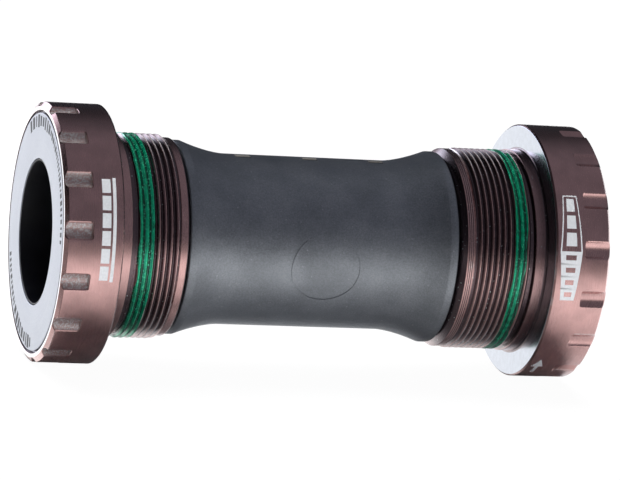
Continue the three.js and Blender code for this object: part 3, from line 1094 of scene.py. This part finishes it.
def make_floor():
    """A white table that the camera sees nearly evenly lit.

    In reflections only, it is painted darker towards the front and painted dark for what faces the front
    left, it has a painted white glow under the backdrop, and a strip under the sleeve is painted with light
    to lift it out of the shadow."""
    s = Shader("white_table")
    grain = s.noise(s.place(), 900.0, 3.0)
    paper = s.mix(grain, (0.87, 0.87, 0.89, 1), (0.92, 0.92, 0.92, 1))
    across, front_back, _ = s.node("SeparateXYZ", {0: s.place()}).outputs
    # Painted reflection: for glossy rays the table is painted darker towards the front and near black for
    # what faces the front left.
    fall = s.remap(front_back, -0.18, -0.06, 0.8, 0.0)
    # Painted light: a strip under the sleeve glows a little, in reflections only, to lift it out of the
    # shadow.
    strip = s.times(s.remap(front_back, -0.06, -0.035), s.remap(front_back, -0.013, -0.002, 1.0, 0.0))
    strip = s.times(strip, s.remap(s.math("ABSOLUTE", across), 0.022, 0.034, 1.0, 0.0))
    toward = s.node("SeparateXYZ", {0: s.node("NewGeometry").outputs["Incoming"]}).outputs
    painted_dark_from_left = s.times(s.remap(toward[0], 0.05, 0.28), s.remap(toward[1], -0.5, -0.25))
    rays = s.node("LightPath").outputs
    painted_dark = s.math("MAXIMUM", fall, s.times(painted_dark_from_left, 0.85))
    paper = s.mix(s.times(painted_dark, rays["Is Glossy Ray"]), paper, (0.05, 0.05, 0.055, 1))
    lit_and_painted = s.node("BsdfDiffuse", {"Color": paper}).outputs[0]
    strip = s.times(strip, s.times(rays["Is Glossy Ray"], 0.24))
    lift = s.node("Emission", {"Color": WHITE, "Strength": strip}).outputs[0]
    lit_and_painted = s.node("AddShader", {0: lit_and_painted, 1: lift}).outputs[0]
    even = s.node("Emission", {"Color": WHITE, "Strength": 1.02}).outputs[0]
    # Painted glow: in reflections looking back under the backdrop, the table glows brighter than white.
    behind = s.times(s.remap(toward[0], 0.0, 0.15), s.remap(toward[1], -0.8, -0.55, 1.0, 0.0))
    behind = s.times(behind, rays["Is Glossy Ray"])
    painted_glow = s.node("Emission", {"Color": WHITE, "Strength": 1.4}).outputs[0]
    lit_and_painted = s.node("MixShader", {0: behind, 1: lit_and_painted, 2: painted_glow}).outputs[0]
    faint = s.node("MixShader", {0: 0.05, 1: even, 2: lit_and_painted}).outputs[0]
    material = s.finish(s.node("MixShader", {0: rays["Is Camera Ray"], 1: lit_and_painted, 2: faint}).outputs[0])
    bm = bmesh.new()
    bmesh.ops.create_grid(bm, x_segments=1, y_segments=1, size=3)
    bmesh.ops.translate(bm, verts=bm.verts, vec=(0, 0, FLOOR_LEVEL))
    floor = mesh_object("table", bm)
    floor.data.materials.append(material)


def make_world():
    """White behind the object for the camera. Reflections see grey walls in front and near black above."""
    world = bpy.data.worlds.new("studio")
    bpy.context.scene.world = world
    world.use_nodes = True
    tree = world.node_tree
    tree.nodes.clear()

    def node(kind, **settings):
        made = tree.nodes.new("ShaderNode" + kind)
        for key, value in settings.items():
            setattr(made, key, value)
        return made

    def wire(source, target):
        tree.links.new(source, target)

    def ramp(source, low, high, to_low, to_high):
        made = node("MapRange")
        wire(source, made.inputs[0])
        for i, value in enumerate((low, high, to_low, to_high)):
            made.inputs[i + 1].default_value = value
        return made.outputs[0]

    def combine(operation, first, second):
        made = node("Math", operation=operation)
        for i, value in enumerate((first, second)):
            if isinstance(value, bpy.types.NodeSocket):
                wire(value, made.inputs[i])
            else:
                made.inputs[i].default_value = value
        return made.outputs[0]

    direction = node("SeparateXYZ")
    wire(node("TexCoord").outputs["Generated"], direction.inputs[0])
    x, y, z = direction.outputs
    climb = combine("ARCTAN2", z, combine("MULTIPLY", y, -1.0))
    tent = ramp(climb, math.radians(105), math.radians(140), 0.2, 0.03)
    tent = combine("MULTIPLY", tent, ramp(x, -0.3, 0.0, 0.15, 1.0))
    left = combine("MULTIPLY", ramp(x, -0.05, -0.2, 0.0, 1.0), ramp(y, 0.6, 0.85, 0.0, 1.0))
    band = combine("MULTIPLY", ramp(z, 0.0, 0.06, 0.0, 1.0), ramp(z, 0.28, 0.38, 1.0, 0.0))
    screen = combine("MULTIPLY", combine("MULTIPLY", left, band), 3.0)
    walls = combine("MAXIMUM", tent, screen)
    soft = node("Background")
    soft.inputs["Color"].default_value = (0.92, 0.94, 1.13, 1)
    wire(walls, soft.inputs["Strength"])
    backdrop = node("Background")
    backdrop.inputs["Color"].default_value = WHITE
    backdrop.inputs["Strength"].default_value = 1.02
    choose = node("MixShader")
    wire(node("LightPath").outputs["Is Camera Ray"], choose.inputs[0])
    wire(soft.outputs[0], choose.inputs[1])
    wire(backdrop.outputs[0], choose.inputs[2])
    wire(choose.outputs[0], node("OutputWorld").inputs["Surface"])


def make_soft_sun(name, energy, spread, heading):
    """A wide soft light that travels along heading. Polished parts don't mirror it."""
    light = bpy.data.lights.new(name, "SUN")
    light.energy = energy
    light.angle = math.radians(spread)
    sun = bpy.data.objects.new(name, light)
    sun.rotation_euler = Vector(heading).to_track_quat("-Z", "Y").to_euler()
    sun.visible_glossy = False
    bpy.context.scene.collection.objects.link(sun)


def make_camera():
    azimuth, elevation, roll = (math.radians(a) for a in (-17.28, 9.575, 5.148))
    distance = 0.6653
    target = Vector((0.65, -0.13, 0.38)) * MM
    level = Vector((-math.sin(azimuth), math.cos(azimuth), 0)) * math.cos(elevation)
    forward = level - Vector((0, 0, math.sin(elevation)))
    lens = bpy.data.cameras.new("camera")
    lens.sensor_width = 36
    lens.lens = 224.36
    lens.clip_start = 0.01
    camera = bpy.data.objects.new("camera", lens)
    camera.location = target - forward * distance
    camera.rotation_mode = "QUATERNION"
    camera.rotation_quaternion = forward.to_track_quat("-Z", "Y") @ Quaternion((0, 0, 1), roll)
    bpy.context.scene.collection.objects.link(camera)
    bpy.context.scene.camera = camera


make_floor()
make_world()
make_soft_sun("overhead", 5.4, 55, (0, -0.5, -0.866))
make_soft_sun("front_fill", 0.8, 60, (0.2, 0.97, 0.1))
make_camera()
bpy.context.scene.view_settings.view_transform = "Standard"
